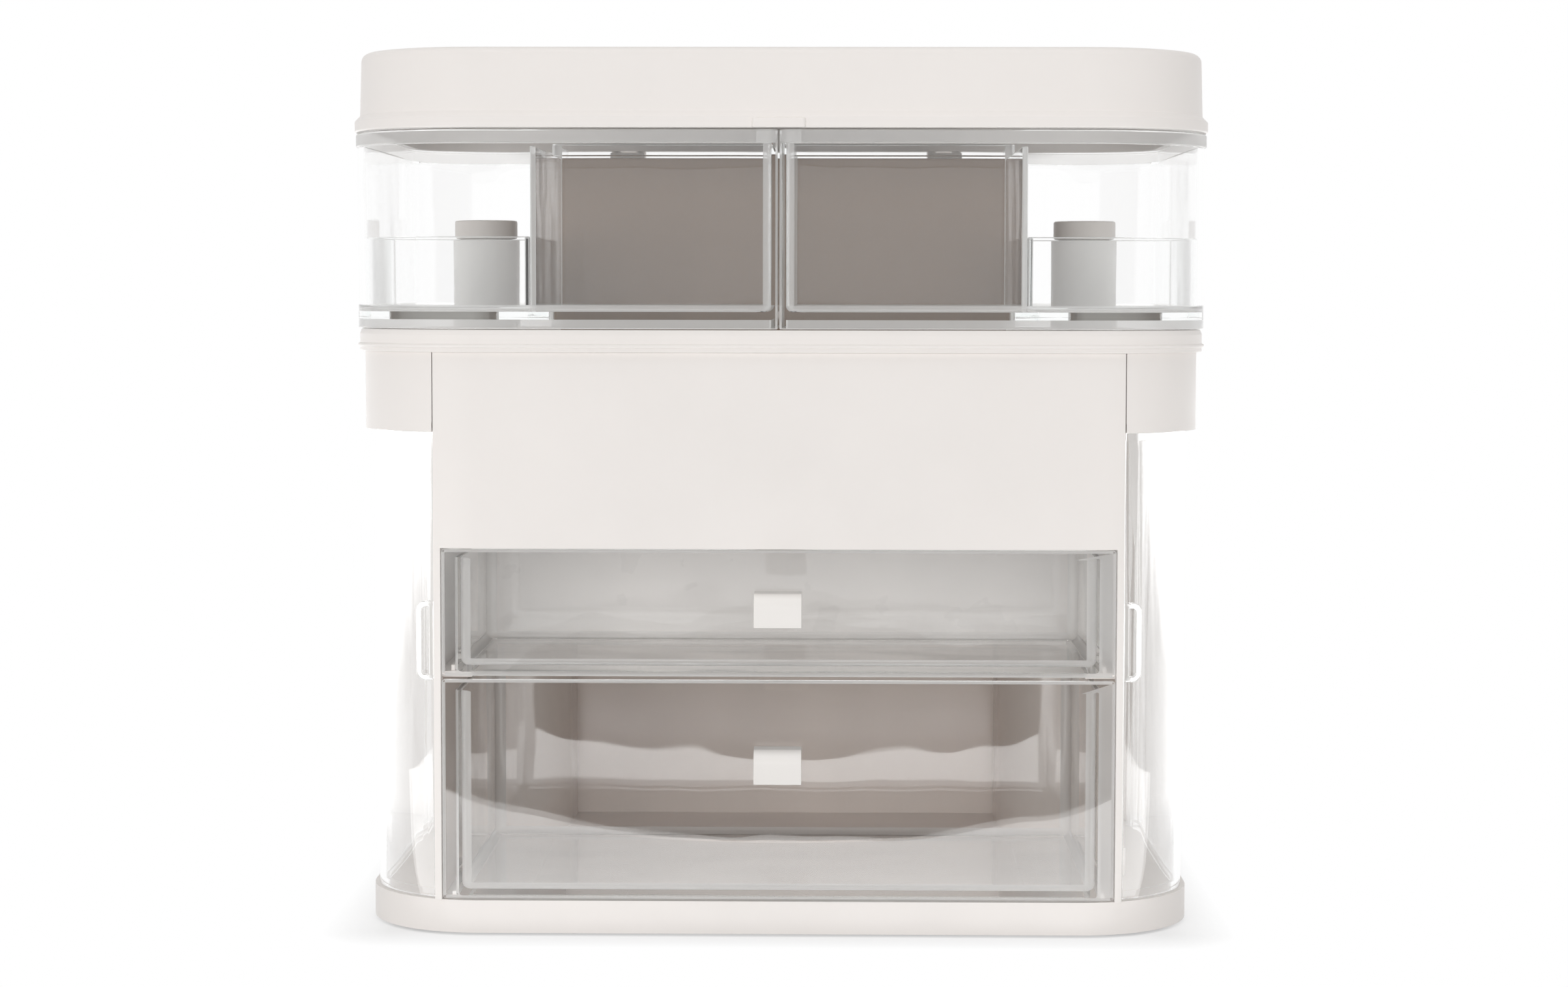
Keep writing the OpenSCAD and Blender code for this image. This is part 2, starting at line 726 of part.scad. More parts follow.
module drawer(front_z, front_h, floor_z, box_top_z, box_l, pull_z) color(clear) difference() {
  union() {
    prism(front_z, front_z + front_h)
      block(-front_half_w, front_half_w, face_d, face_d + drawer_front_t);
    prism(floor_z, box_top_z) block(-box_half_w, box_half_w,
      face_d + drawer_front_t - eps, face_d + drawer_front_t + box_l);
  }
  prism(floor_z + drawer_wall, box_top_z + 1)
    block(-box_half_w + drawer_wall, box_half_w - drawer_wall,
      face_d + drawer_front_t, face_d + drawer_front_t + box_l - drawer_wall);
  depth_rod(0, pull_z + pull_h / 2, screw_r + 0.1, face_d - 1, face_d + drawer_front_t + 1);
}

// Hook of the pull, seen from the side: top plate and front lip with a round corner
module hook(t) {
  r = 5;
  difference() {
    translate([-pull_out + t, 0]) square([pull_out - t, pull_h - t]);
    translate([-pull_out + t - eps, pull_h - r]) square([r - t, r]);
  }
  intersection() {
    translate([-pull_out + r, pull_h - r]) circle(r - t);
    translate([-pull_out, pull_h - r - eps]) square([r + eps, r]);
  }
}
module pull(z) color(white) translate([0, dy(face_d) - seat, z]) difference() {
  union() {
    rotate([90, 0, 90]) translate([0, 0, -pull_w / 2]) linear_extrude(pull_w) difference() {
      hook(0);
      translate([0, -eps]) hook(pull_t);
      translate([-2, -1]) square([4, pull_h - pull_t + 1]);
    }
    translate([0, 0, pull_h / 2]) rotate([90, 0, 0]) cylinder(r = 3.6, h = pull_out - 1);
  }
  translate([0, 1, pull_h / 2]) rotate([90, 0, 0]) cylinder(r = screw_r + seat, h = pull_screw_l + 2);
}
module pull_screw(z) color(steel) {
  depth_rod(0, z + pull_h / 2, screw_r, face_d - pull_screw_l, face_d + drawer_front_t + screw_end);
  depth_rod(0, z + pull_h / 2, head_r - 0.2, face_d + drawer_front_t + seat, face_d + drawer_front_t + 1.8);
}

pull_screw_l = 8;
lower_pull_z = lower_front_z + lower_front_h - lower_pull_drop - pull_h;
upper_pull_z = upper_front_z + upper_front_h - upper_pull_drop - pull_h;
module lower_drawer() drawer(lower_front_z, lower_front_h, lower_floor_z,
  lower_front_z + lower_front_h - 4.5, lower_box_l, lower_pull_z);
module upper_drawer() drawer(upper_front_z, upper_front_h, upper_floor_z,
  upper_front_z + upper_front_h - 3.4, upper_box_l, upper_pull_z);
module lower_pull() pull(lower_pull_z);
module upper_pull() pull(upper_pull_z);
module lower_pull_screw() pull_screw(lower_pull_z);
module upper_pull_screw() pull_screw(upper_pull_z);

// ---- side doors ----

door_z = deck_z + 0.4;
door_top_z = band_z - 0.4;
door_rail_h = 3;
door_x = fascia_half_w + 0.6;
handle_below = 2;   // the loop starts this far below the upper drawer front
handle_z = upper_front_z - handle_below;
handle_t = 1.8;

module door_region(in_x) {
  block(in_x, 2 * half_w, -tip, hinge_post_d);
}
module door(s) color(clear) flip(s) difference() {
  union() {
    prism(door_z, door_top_z) intersection() {
      difference() {
        outline(-door_in);
        outline(-door_in - door_t);
      }
      door_region(door_x);
    }
    for (z = [door_z, door_top_z - door_rail_h]) prism(z, z + door_rail_h) intersection() {
      difference() {
        outline(-door_in - door_t + 0.5);
        outline(-door_in - door_t - 1);
      }
      door_region(door_x);
    }
    translate([hinge_post_x, dy(hinge_post_d), 0]) rod(barrel_r, door_z, door_top_z);
    handle_loop();
  }
  translate([hinge_post_x, dy(hinge_post_d), 0]) {
    rod(door_pin_r + pin_slip, door_z - 1, deck_z + pin_len + 0.3);
    rod(door_pin_r + pin_slip, band_z - pin_len - 0.3, door_top_z + 1);
  }
}

// D-shaped loop that stands out from the front edge of the door
handle_r = handle_w / 2;
handle_d = 4.4;
handle_l = 7.5;
module handle_plan(o) {
  translate([o, o]) square([handle_r - o, handle_h - 2 * o]);
  translate([o, handle_r]) square([handle_w - 2 * o, handle_h - 2 * handle_r]);
  for (z = [handle_r, handle_h - handle_r]) translate([handle_r, z]) circle(handle_r - o);
}
module handle_loop() {
  translate([door_x, dy(handle_d + handle_l), handle_z]) rotate([90, 0, 0])
    linear_extrude(handle_l) difference() {
      handle_plan(0);
      handle_plan(handle_t);
    }
}
module door_left() door(-1);
module door_right() door(1);

base_plinth();
rubber_feet();
base_screws();
bay_liner();
partition_left();
partition_right();
runner_frame();
front_fascia();
upper_band();
back_shell();
back_screws();
door_pins();
mid_tray();
storage_tray();
centre_well();
pivot_post_left();
pivot_post_right();
post_cap_left();
post_cap_right();
cap_screws();
hinge_rail();
hinge_pins();
lid_shell();
lid_hinge_leaves();
lid_screws();
wing_left_bin();
wing_left_divider();
wing_left_insert();
wing_left_magnet();
wing_right_bin();
wing_right_divider();
wing_right_insert();
wing_right_magnet();
lower_drawer();
lower_pull();
lower_pull_screw();
upper_drawer();
upper_pull();
upper_pull_screw();
door_left();
door_right();
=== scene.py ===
# %% [markdown]
# # A lidded cosmetics cabinet
# The cabinet is a stack of moulded plastic pieces: a white plinth with two clear drawers and two clear
# side doors, a white band, a shallow tray, two clear bins that swing out, and a hollow white lid.
# Everything moves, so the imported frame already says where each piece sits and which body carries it.
# This lesson gives those pieces their moulded edges and their finishes.

# %% Load the frame
import math

import bmesh
import bpy
import numpy as np
from mathutils import Matrix, Vector
from mathutils.geometry import tessellate_polygon


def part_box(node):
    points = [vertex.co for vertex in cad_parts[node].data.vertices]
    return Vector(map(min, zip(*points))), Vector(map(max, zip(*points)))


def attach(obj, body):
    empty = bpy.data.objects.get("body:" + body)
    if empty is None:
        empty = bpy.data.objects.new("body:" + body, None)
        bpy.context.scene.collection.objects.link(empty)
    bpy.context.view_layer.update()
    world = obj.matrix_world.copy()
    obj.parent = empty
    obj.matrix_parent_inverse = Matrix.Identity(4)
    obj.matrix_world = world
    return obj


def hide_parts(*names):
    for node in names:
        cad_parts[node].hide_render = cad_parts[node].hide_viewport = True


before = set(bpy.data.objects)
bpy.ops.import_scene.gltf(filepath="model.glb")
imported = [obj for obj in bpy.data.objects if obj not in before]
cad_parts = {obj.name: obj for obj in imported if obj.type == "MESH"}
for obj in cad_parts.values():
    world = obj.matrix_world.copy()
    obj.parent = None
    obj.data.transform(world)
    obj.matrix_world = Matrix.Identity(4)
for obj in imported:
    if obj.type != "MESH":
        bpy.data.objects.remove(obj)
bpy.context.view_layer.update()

MM = 0.001

# %% [markdown]
# ## Sizes
# A piece that stands for a part of the frame has to fill the same room, so its main sizes are read from
# the frame's own boxes. Only what a box can't tell, such as a corner radius, is written here.

# %% Read the main sizes


def low(node):
    """Lowest corner of a node's box."""
    return np.array(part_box(node)[0])


def high(node):
    """Highest corner of a node's box."""
    return np.array(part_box(node)[1])


HALF_W = high("upper_band")[0]
FRONT_Y = low("front_fascia")[1]
BACK_Y = high("upper_band")[1]
FRONT_R = 48.5 * MM
BACK_R = 34 * MM
print("case:", round(2 * HALF_W / MM, 1), "wide,", round((BACK_Y - FRONT_Y) / MM, 1), "deep, in mm")

# %% [markdown]
# ## Rounded outlines
# Moulded plastic has no sharp corner, neither in plan nor in section. A rounded polygon could be drawn
# as a curve and bevelled, but its points would then be Blender's own. Worked out as arrays, each outline
# has the same number of points whatever its offset, so two of them can be joined point by point.

# %% A polygon with round corners

ARC_STEPS = 14


def cross2(a, b):
    """z part of the cross product of plane vectors."""
    return a[..., 0] * b[..., 1] - a[..., 1] * b[..., 0]


def rounded(corners, radii, grow=0.0):
    """Closed anticlockwise path round a polygon, every edge moved out by grow and every corner rounded.

    grow is one number, one per path, or one per path and edge. A moved corner solves n1.x = g1, n2.x = g2
    for the two moved edges. Where the path turns by t with radius r, the arc starts r tan(t/2) before the
    corner, and its point at angle a lies r sin(a) along and r (1 - cos(a)) aside of that start.
    """
    p = np.asarray(corners, float)
    k = len(p)
    g = np.asarray(grow, float)
    single = g.ndim == 0
    g = np.broadcast_to(g.reshape(-1, 1) if g.ndim < 2 else g, (g.size if g.ndim < 2 else len(g), k))
    edge = np.roll(p, -1, 0) - p
    edge = edge / np.linalg.norm(edge, axis=1, keepdims=True)
    out = np.stack([edge[:, 1], -edge[:, 0]], 1)
    edge_in, out_in, g_in = np.roll(edge, 1, 0), np.roll(out, 1, 0), np.roll(g, 1, 1)
    turn = np.arctan2(cross2(edge_in, edge), np.sum(edge_in * edge, 1))
    normals = np.stack([out_in, out], 1)
    moved = p + np.linalg.solve(normals[None], np.stack([g_in, g], -1)[..., None])[..., 0]
    r = np.maximum(np.asarray(radii, float) + np.sign(turn) * np.minimum(g_in, g), 0)
    r = np.where(np.asarray(radii, float) > 0, r, 0)
    start = moved - edge_in * (r * np.tan(np.abs(turn) / 2))[..., None]
    a = np.linspace(0, 1, ARC_STEPS)[:, None] * np.abs(turn)
    aside = -np.sign(turn)[:, None] * out_in
    along = np.sin(a)[None, :, :, None] * edge_in
    across = (1 - np.cos(a))[None, :, :, None] * aside
    arc = start[:, None] + r[:, None, :, None] * (along + across)
    path = arc.transpose(0, 2, 1, 3).reshape(len(g), -1, 2)
    return path[0] if single else path


def section(points, radii, steps=5):
    """Open path through points, its inner corners rounded by the formula of rounded()."""
    p = np.asarray(points, float) * MM
    r = np.broadcast_to(np.asarray(radii, float) * MM, len(p) - 2)
    step_in = p[1:-1] - p[:-2]
    step_out = p[2:] - p[1:-1]
    step_in = step_in / np.linalg.norm(step_in, axis=1, keepdims=True)
    step_out = step_out / np.linalg.norm(step_out, axis=1, keepdims=True)
    turn = np.arctan2(cross2(step_in, step_out), np.sum(step_in * step_out, 1))
    start = p[1:-1] - step_in * (r * np.tan(np.abs(turn) / 2))[:, None]
    side = np.sign(turn)[:, None] * np.stack([-step_in[:, 1], step_in[:, 0]], 1)
    a = np.linspace(0, 1, steps)[None, :, None] * np.abs(turn)[:, None, None]
    along, across = np.sin(a) * step_in[:, None], (1 - np.cos(a)) * side[:, None]
    arcs = start[:, None] + r[:, None, None] * (along + across)
    return np.vstack([p[:1], arcs.reshape(-1, 2), p[-1:]])


def rectangle(x0, x1, y0, y1):
    """Corners of a rectangle, anticlockwise."""
    return [(x0, y0), (x1, y0), (x1, y1), (x0, y1)]


CASE = rectangle(-HALF_W, HALF_W, FRONT_Y, BACK_Y)
CASE_R = [FRONT_R, FRONT_R, BACK_R, BACK_R]
print("one outline of the case has", len(rounded(CASE, CASE_R)), "points")

# %% [markdown]
# ## Surfaces from outlines
# A moulding is mostly one section carried round one outline. The rings that the section makes are joined
# by quads, and the first and last ring are closed by flat caps, which may have holes for what passes
# through. The same few functions make the lid, the tray, the bins and the drawers.

# %% Skins, caps and pieces

SMOOTH_ANGLE = math.radians(32)
WELD = 2e-6
BEVEL_ANGLE = math.radians(40)


def at_height(path, z):
    """Plane points lifted to height z, one height or one per path."""
    z = np.broadcast_to(np.reshape(z, np.shape(z) + (1,) * (path.ndim - np.ndim(z))), path.shape[:-1] + (1,))
    return np.concatenate([path, z], -1)


def carry(profile, corners, radii, base_z):
    """Rings of a section carried round an outline: ring i is the outline grown by profile[i, 0] at height
    base_z + profile[i, 1]."""
    return at_height(rounded(corners, radii, profile[:, 0]), base_z + profile[:, 1])


def skin(rings):
    """Quads between neighbouring closed rings: quad (i, j) has points j and j + 1 of rings i and i + 1."""
    count, n = rings.shape[:2]
    i, j = np.meshgrid(np.arange(count - 1), np.arange(n), indexing="ij")
    k = (j + 1) % n
    quads = np.stack([i * n + j, i * n + k, (i + 1) * n + k, (i + 1) * n + j], -1)
    return rings.reshape(-1, 3), quads.reshape(-1, 4)


def cap(ring, holes=(), up=True):
    """Flat face inside a ring and round its holes, as triangles that all look up, or all look down."""
    loops = [ring, *holes]
    points = np.vstack(loops)
    tri = np.array(tessellate_polygon(loops))
    a, b, c = (points[tri[:, i]] for i in range(3))
    wrong = (np.cross(b - a, c - a)[:, 2] > 0) != up
    tri[wrong] = tri[wrong][:, ::-1]
    return points, tri


def disc_ring(x, y, z, radius, n=64):
    """Points of a circle: (x + r cos t, y + r sin t)."""
    t = np.linspace(0, 2 * math.pi, n, endpoint=False)
    return np.stack([x + radius * np.cos(t), y + radius * np.sin(t), np.full(n, z)], 1)


def solid(rings):
    """Closed shape: the skin of the rings with a cap below the first and on the last."""
    return [skin(rings), cap(rings[0], up=False), cap(rings[-1])]


def finish_mesh(mesh):
    """Welds points that meet, turns the faces outwards and smooths all but the sharp edges."""
    bm = bmesh.new()
    bm.from_mesh(mesh)
    bmesh.ops.remove_doubles(bm, verts=bm.verts, dist=WELD)
    bmesh.ops.dissolve_degenerate(bm, edges=bm.edges, dist=WELD)
    bmesh.ops.recalc_face_normals(bm, faces=bm.faces)
    bm.to_mesh(mesh)
    bm.free()
    mesh.shade_smooth()
    mesh.set_sharp_from_angle(angle=SMOOTH_ANGLE)


def surface(name, parts):
    """One object made of (points, faces) parts."""
    start = np.cumsum([0] + [len(points) for points, _ in parts])
    faces = [face for first, (_, part) in zip(start, parts) for face in (part + first).tolist()]
    mesh = bpy.data.meshes.new(name)
    mesh.from_pydata(np.vstack([points for points, _ in parts]).tolist(), [], faces)
    finish_mesh(mesh)
    obj = bpy.data.objects.new(name, mesh)
    bpy.context.scene.collection.objects.link(obj)
    return obj


def bake_modifiers(obj):
    """Applies the modifiers of an object to its mesh."""
    shown = obj.evaluated_get(bpy.context.evaluated_depsgraph_get())
    mesh = bpy.data.meshes.new_from_object(shown)
    obj.modifiers.clear()
    obj.data = mesh
    finish_mesh(mesh)


def combine(obj, tool):
    """Joins tool to obj as one moulding and removes tool."""
    change = obj.modifiers.new("combine", "BOOLEAN")
    change.operation = "UNION"
    change.solver = "EXACT"
    change.object = tool
    bake_modifiers(obj)
    bpy.data.objects.remove(tool)


def bevel(obj, width):
    """Rounds the edges that turn by more than BEVEL_ANGLE."""
    edge = obj.modifiers.new("edge", "BEVEL")
    edge.width = width
    edge.segments = 2
    edge.limit_method = "ANGLE"
    edge.angle_limit = BEVEL_ANGLE
    edge.harden_normals = False
    bake_modifiers(obj)


def mesh_values(items, key, kind=float, width=1):
    """One property of all faces, edges, points or loops as an array, width numbers to a row."""
    values = np.empty(len(items) * width, kind)
    items.foreach_get(key, values)
    return values.reshape(-1, width) if width > 1 else values


def mark_roundings(mesh, largest=7 * MM, least_turn=0.04):
    """Attribute "rounding": 1 on the faces of fillets and rims that bend tighter than largest, else 0.

    Where two faces turn by an angle t over an edge of length l, a face of area a is a / l wide there,
    so the surface bends with the radius (a / l) / t. Turns of less than least_turn radians are flat."""
    area = mesh_values(mesh.polygons, "area")
    normal = mesh_values(mesh.polygons, "normal", width=3)
    ends = mesh_values(mesh.edges, "vertices", int, 2)
    points = mesh_values(mesh.vertices, "co", width=3)
    length = np.linalg.norm(points[ends[:, 0]] - points[ends[:, 1]], axis=1)
    edge_of = mesh_values(mesh.loops, "edge_index", int)
    face_of = np.repeat(np.arange(len(area)), mesh_values(mesh.polygons, "loop_total", int))
    order = np.argsort(edge_of, kind="stable")
    pair = np.flatnonzero(edge_of[order][1:] == edge_of[order][:-1])
    a, b = face_of[order][pair], face_of[order][pair + 1]
    between = np.maximum(length[edge_of[order][pair]], 1e-7)
    turn = np.arccos(np.clip(np.sum(normal[a] * normal[b], axis=1), -1, 1))
    marked = np.zeros(len(area))
    for side in (a, b):
        width = area[side] / between
        tight = (turn > least_turn) & (width < turn * largest) & (width < between)
        np.maximum.at(marked, side, tight)
    mesh.attributes.new("rounding", "FLOAT", "FACE").data.foreach_set("value", marked)


# Marks whole faces for the painted highlight of the clear plastic.
def paint_highlight_near(obj, centre, radius):
    """Sets "rounding" to 1 on the faces whose middle lies within radius of an upright line at centre."""
    middle = mesh_values(obj.data.polygons, "center", width=3)
    near = np.hypot(middle[:, 0] - centre[0], middle[:, 1] - centre[1]) < radius
    mask = obj.data.attributes["rounding"].data
    mask.foreach_set("value", np.maximum(mesh_values(mask, "value"), near))


def settle(obj, body, slot, material, replaces=()):
    """Gives a finished piece its finish and its body, and hides the nodes that it stands for. The slot is
    only compared with clear_plastic, whose pieces get their roundings marked.

    Normals weighted by face area keep a flat wall flat right up to its rounded edge. Without them a clear
    wall would bend light like a lens."""
    obj.data.materials.clear()
    obj.data.materials.append(material)
    flat = obj.modifiers.new("flat", "WEIGHTED_NORMAL")
    flat.mode = "FACE_AREA"
    flat.weight = 100
    flat.keep_sharp = True
    if slot == "clear_plastic":
        mark_roundings(obj.data)
    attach(obj, body)
    if replaces:
        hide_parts(*replaces)
    print(f"{obj.name}: {len(obj.data.polygons)} faces on {body}")
    return obj


print("helpers ready")

# %% [markdown]
# ## Finishes
# Injection-moulded plastic is nearly one colour, yet it never renders well as one: the melt leaves faint
# clouds, the mould leaves a fine grain, and handling leaves patches of more and less gloss. Each finish
# below mixes those three from noise on Object coordinates, so nothing slides when a piece moves.

# %% Node helpers


def new_material(name):
    """Empty node material and its tree."""
    material = bpy.data.materials.new(name)
    material.use_nodes = True
    material.node_tree.nodes.clear()
    return material, material.node_tree


def add(tree, kind, **values):
    """New node with attributes and input values set by name."""
    node = tree.nodes.new("ShaderNode" + kind)
    for key, value in values.items():
        if hasattr(node, key):
            setattr(node, key, value)
        else:
            node.inputs[key.replace("_", " ")].default_value = value
    return node


def noise(tree, scale, detail=3.0, stretch=(1, 1, 1)):
    """Noise of a given number of features per metre, stretched along the axes."""
    place = add(tree, "TexCoord")
    turn = add(tree, "Mapping")
    turn.inputs["Scale"].default_value = stretch
    tree.links.new(place.outputs["Object"], turn.inputs["Vector"])
    texture = add(tree, "TexNoise")
    texture.inputs["Scale"].default_value = scale
    texture.inputs["Detail"].default_value = detail
    tree.links.new(turn.outputs["Vector"], texture.inputs["Vector"])
    return texture.outputs["Fac"]


def spread(tree, value, low_out, high_out, low_in=0.35, high_in=0.65):
    """value carried from the range low_in to high_in to the range low_out to high_out."""
    node = add(tree, "MapRange")
    ends = {"From Min": low_in, "From Max": high_in, "To Min": low_out, "To Max": high_out}
    for key, number in ends.items():
        node.inputs[key].default_value = number
    tree.links.new(value, node.inputs["Value"])
    return node.outputs["Result"]


def blend_colours(tree, factor, first, second):
    """Mix of two colours by factor."""
    node = add(tree, "Mix", data_type="RGBA")
    colour_inputs = [s for s in node.inputs if s.type == "RGBA"]
    colour_inputs[0].default_value = (*first, 1)
    colour_inputs[1].default_value = (*second, 1)
    tree.links.new(factor, node.inputs[0])
    return next(s for s in node.outputs if s.type == "RGBA")


def bump(tree, height, distance, under=None):
    """Normal of a height pattern whose full step is distance metres, on top of the pattern under."""
    node = add(tree, "Bump", Distance=distance)
    tree.links.new(height, node.inputs["Height"])
    if under:
        tree.links.new(under, node.inputs["Normal"])
    return node.outputs["Normal"]


def larger(tree, first, second):
    """The larger of two values."""
    node = add(tree, "Math", operation="MAXIMUM")
    tree.links.new(first, node.inputs[0])
    tree.links.new(second, node.inputs[1])
    return node.outputs[0]


def above(tree, value, limit):
    """1 where value is above limit, else 0."""
    node = add(tree, "Math", operation="GREATER_THAN")
    node.inputs[1].default_value = limit
    tree.links.new(value, node.inputs[0])
    return node.outputs[0]


print("node helpers ready")

# %% Opaque plastics

CLOUD_SCALE, GLOSS_SCALE, GRAIN_SCALE, WAVE_SCALE = 14, 40, 2600, 18


def moulded(name, colour, roughness, cloud=0.015, grain=6e-6, wave=0.0, stretch=(1, 1, 1)):
    """Opaque moulded plastic.

    cloud is how much lighter and darker the melt runs, grain the depth of the mould's texture and wave
    the depth of slow ripples, which soften what a glossy wall mirrors."""
    material, tree = new_material(name)
    shader = add(tree, "BsdfPrincipled", IOR=1.5)
    c = np.array(colour)
    clouds = spread(tree, noise(tree, CLOUD_SCALE, 4, stretch), 0, 1)
    tint = blend_colours(tree, clouds, tuple(c * (1 - cloud)), tuple(np.minimum(c * (1 + cloud), 1)))
    tree.links.new(tint, shader.inputs["Base Color"])
    gloss = noise(tree, GLOSS_SCALE, 5)
    tree.links.new(spread(tree, gloss, roughness * 0.88, roughness * 1.12), shader.inputs["Roughness"])
    normal = bump(tree, noise(tree, GRAIN_SCALE, 2), grain)
    if wave:
        normal = bump(tree, noise(tree, WAVE_SCALE, 1, stretch), wave, normal)
    tree.links.new(normal, shader.inputs["Normal"])
    output = add(tree, "OutputMaterial")
    tree.links.new(shader.outputs["BSDF"], output.inputs["Surface"])
    return material


WHITE = moulded("white_plastic", (0.84, 0.80, 0.77), 0.42, cloud=0.012)
WHITE_GLOSS = moulded("white_plastic_polished", (0.86, 0.83, 0.80), 0.24, cloud=0.01, grain=3e-6)
LIGHT_GREY = moulded("light_grey_plastic", (0.82, 0.765, 0.73), 0.30, cloud=0.03, wave=4e-4)
GREY = moulded("grey_plastic", (0.70, 0.655, 0.62), 0.4, cloud=0.03)
# Painted shade: the pivot posts are white mouldings that stand in shade inside the bins' arms, so they get a
# greyer copy of the light grey plastic.
POST_SHADE_GREY = moulded("post_plastic_shade_grey", (0.75, 0.715, 0.68), 0.4, cloud=0.03)
GLOSSY = dict(roughness=0.16, cloud=0.05, grain=1e-6, wave=9e-4, stretch=(1, 1, 0.2))
TAUPE = moulded("taupe_plastic", (0.28, 0.195, 0.142), **GLOSSY)
# Painted shade: the liner's warm taupe is the tint that light takes on as it bounces round inside a white
# bay, given to the liner as its own colour.
LINER_SHADE_TAUPE = moulded("liner_plastic_shade_tint", (0.77, 0.67, 0.61), **GLOSSY)
RUBBER = moulded("foot_rubber", (0.05, 0.05, 0.05), 0.7, cloud=0.2, grain=2e-5)
print("opaque plastics ready")

# %% [markdown]
# ## Clear plastic
# Polystyrene is clear through a wall but pale blue-green along it, which is why the bins show tinted
# edges and clear faces. A see-through colour on the surface would tint both alike, so the tint is an
# absorption inside the solid. Tight roundings get a painted highlight: the attribute that marks them gives
# them a share of milky white scattering, which stands in for the bright lines that mirrored and bent light
# draws along them. Shadow rays pass straight through, as real light would after bending.

# %% Clear plastic and metals

RUB_SCALE, FLOW_SCALE, TURNING_SCALE = 60, 22, 900
FLOW_DEPTH = 2.5e-4
# The milky white below is a painted highlight for the bright lines along small roundings of clear plastic.
EDGE_HIGHLIGHT_WHITE = (0.97, 0.955, 0.94, 1)
MOST_MIRRORINGS, MOST_BOUNCES = 2.5, 8.5


def join_shaders(tree, factor, first, second):
    """second where factor is 1, first where it is 0. factor is a number or an output."""
    node = add(tree, "MixShader")
    if isinstance(factor, float):
        node.inputs[0].default_value = factor
    else:
        tree.links.new(factor, node.inputs[0])
    tree.links.new(first, node.inputs[1])
    tree.links.new(second, node.inputs[2])
    return node.outputs[0]


def clear_plastic(name, tint=(0.87, 0.93, 0.91), density=0.9, roughness=0.015, edge_highlight_share=0.65):
    """Glass shader for moulded polystyrene, with faint flow ripples in its surface.

    Shadow rays, light on its way between other surfaces, and light that would run on inside a wall for
    ever all pass straight through. Small roundings, which the attribute "rounding" marks, scatter a share of
    the light, set by the last argument, as milky white, half of it forwards and half back: a painted
    highlight."""
    material, tree = new_material(name)
    glass = add(tree, "BsdfPrincipled", Base_Color=(1, 1, 1, 1), IOR=1.49, Transmission_Weight=1)
    rub = noise(tree, RUB_SCALE, 4)
    tree.links.new(spread(tree, rub, roughness * 0.6, roughness * 1.8), glass.inputs["Roughness"])
    tree.links.new(bump(tree, noise(tree, FLOW_SCALE, 1), FLOW_DEPTH), glass.inputs["Normal"])
    through = add(tree, "BsdfTransparent", Color=(0.985, 0.99, 0.99, 1))
    ray = add(tree, "LightPath")
    light = larger(tree, ray.outputs["Is Shadow Ray"], ray.outputs["Is Diffuse Ray"])
    trapped = larger(tree, above(tree, ray.outputs["Glossy Depth"], MOST_MIRRORINGS),
                     above(tree, ray.outputs["Ray Depth"], MOST_BOUNCES))
    back, forth = (add(tree, kind, Color=EDGE_HIGHLIGHT_WHITE).outputs[0] for kind in ("BsdfDiffuse", "BsdfTranslucent"))
    rounding = add(tree, "Attribute", attribute_name="rounding").outputs["Fac"]
    wall = join_shaders(tree, spread(tree, rounding, 0, edge_highlight_share, 0, 1), glass.outputs["BSDF"],
                        join_shaders(tree, 0.5, back, forth))
    mix = join_shaders(tree, larger(tree, light, trapped), wall, through.outputs["BSDF"])
    inside = add(tree, "VolumeAbsorption", Color=(*tint, 1), Density=density)
    output = add(tree, "OutputMaterial")
    tree.links.new(mix, output.inputs["Surface"])
    tree.links.new(inside.outputs["Volume"], output.inputs["Volume"])
    return material


def metal(name, colour, roughness):
    """Plated steel with fine turning marks."""
    material, tree = new_material(name)
    shader = add(tree, "BsdfPrincipled", Metallic=1)
    marks = noise(tree, TURNING_SCALE, 2, (1, 6, 1))
    c = np.array(colour)
    tree.links.new(blend_colours(tree, marks, tuple(c * 0.85), tuple(c)), shader.inputs["Base Color"])
    tree.links.new(spread(tree, marks, roughness * 0.8, roughness * 1.3), shader.inputs["Roughness"])
    tree.links.new(bump(tree, marks, 1e-5), shader.inputs["Normal"])
    output = add(tree, "OutputMaterial")
    tree.links.new(shader.outputs["BSDF"], output.inputs["Surface"])
    return material


CLEAR = clear_plastic("clear_plastic")
STEEL = metal("screw_steel", (0.72, 0.72, 0.74), 0.3)
MAGNET = metal("magnet_steel", (0.35, 0.34, 0.34), 0.35)
print("clear plastic and metals ready")

# %% [markdown]
# ## Nodes whose shape is right
# The plinth, the band and the walls of the drawer bay already have every rib, boss and hole in the frame.
# What they lack is the small radius that a mould leaves along each edge. A copy of the node's mesh is
# merged, its flat faces are made whole and its edges are bevelled, which keeps all that detail.

# %% Bevelled copies of nodes

FLAT_ANGLE = math.radians(0.6)


def from_node(node, body, slot, material, edge):
    """Copy of a node's mesh with rounded edges, which stands for the node."""
    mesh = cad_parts[node].data.copy()
    mesh.name = node + "_moulded"
    bm = bmesh.new()
    bm.from_mesh(mesh)
    bmesh.ops.remove_doubles(bm, verts=bm.verts, dist=WELD)
    bmesh.ops.dissolve_limit(bm, angle_limit=FLAT_ANGLE, verts=bm.verts, edges=bm.edges)
    bm.to_mesh(mesh)
    bm.free()
    obj = bpy.data.objects.new(node + "_moulded", mesh)
    bpy.context.scene.collection.objects.link(obj)
    finish_mesh(mesh)
    bevel(obj, edge)
    return settle(obj, body, slot, material, (node,))


for node, edge in (("base_plinth", 0.7), ("upper_band", 0.15), ("front_fascia", 0.15), ("back_shell", 0.5),
                   ("partition_left", 0.3), ("partition_right", 0.3), ("hinge_rail", 0.4)):
    from_node(node, "cabinet", "white_plastic", WHITE, edge * MM)
from_node("lid_hinge_leaves", "lid", "white_plastic", WHITE, 0.3 * MM)
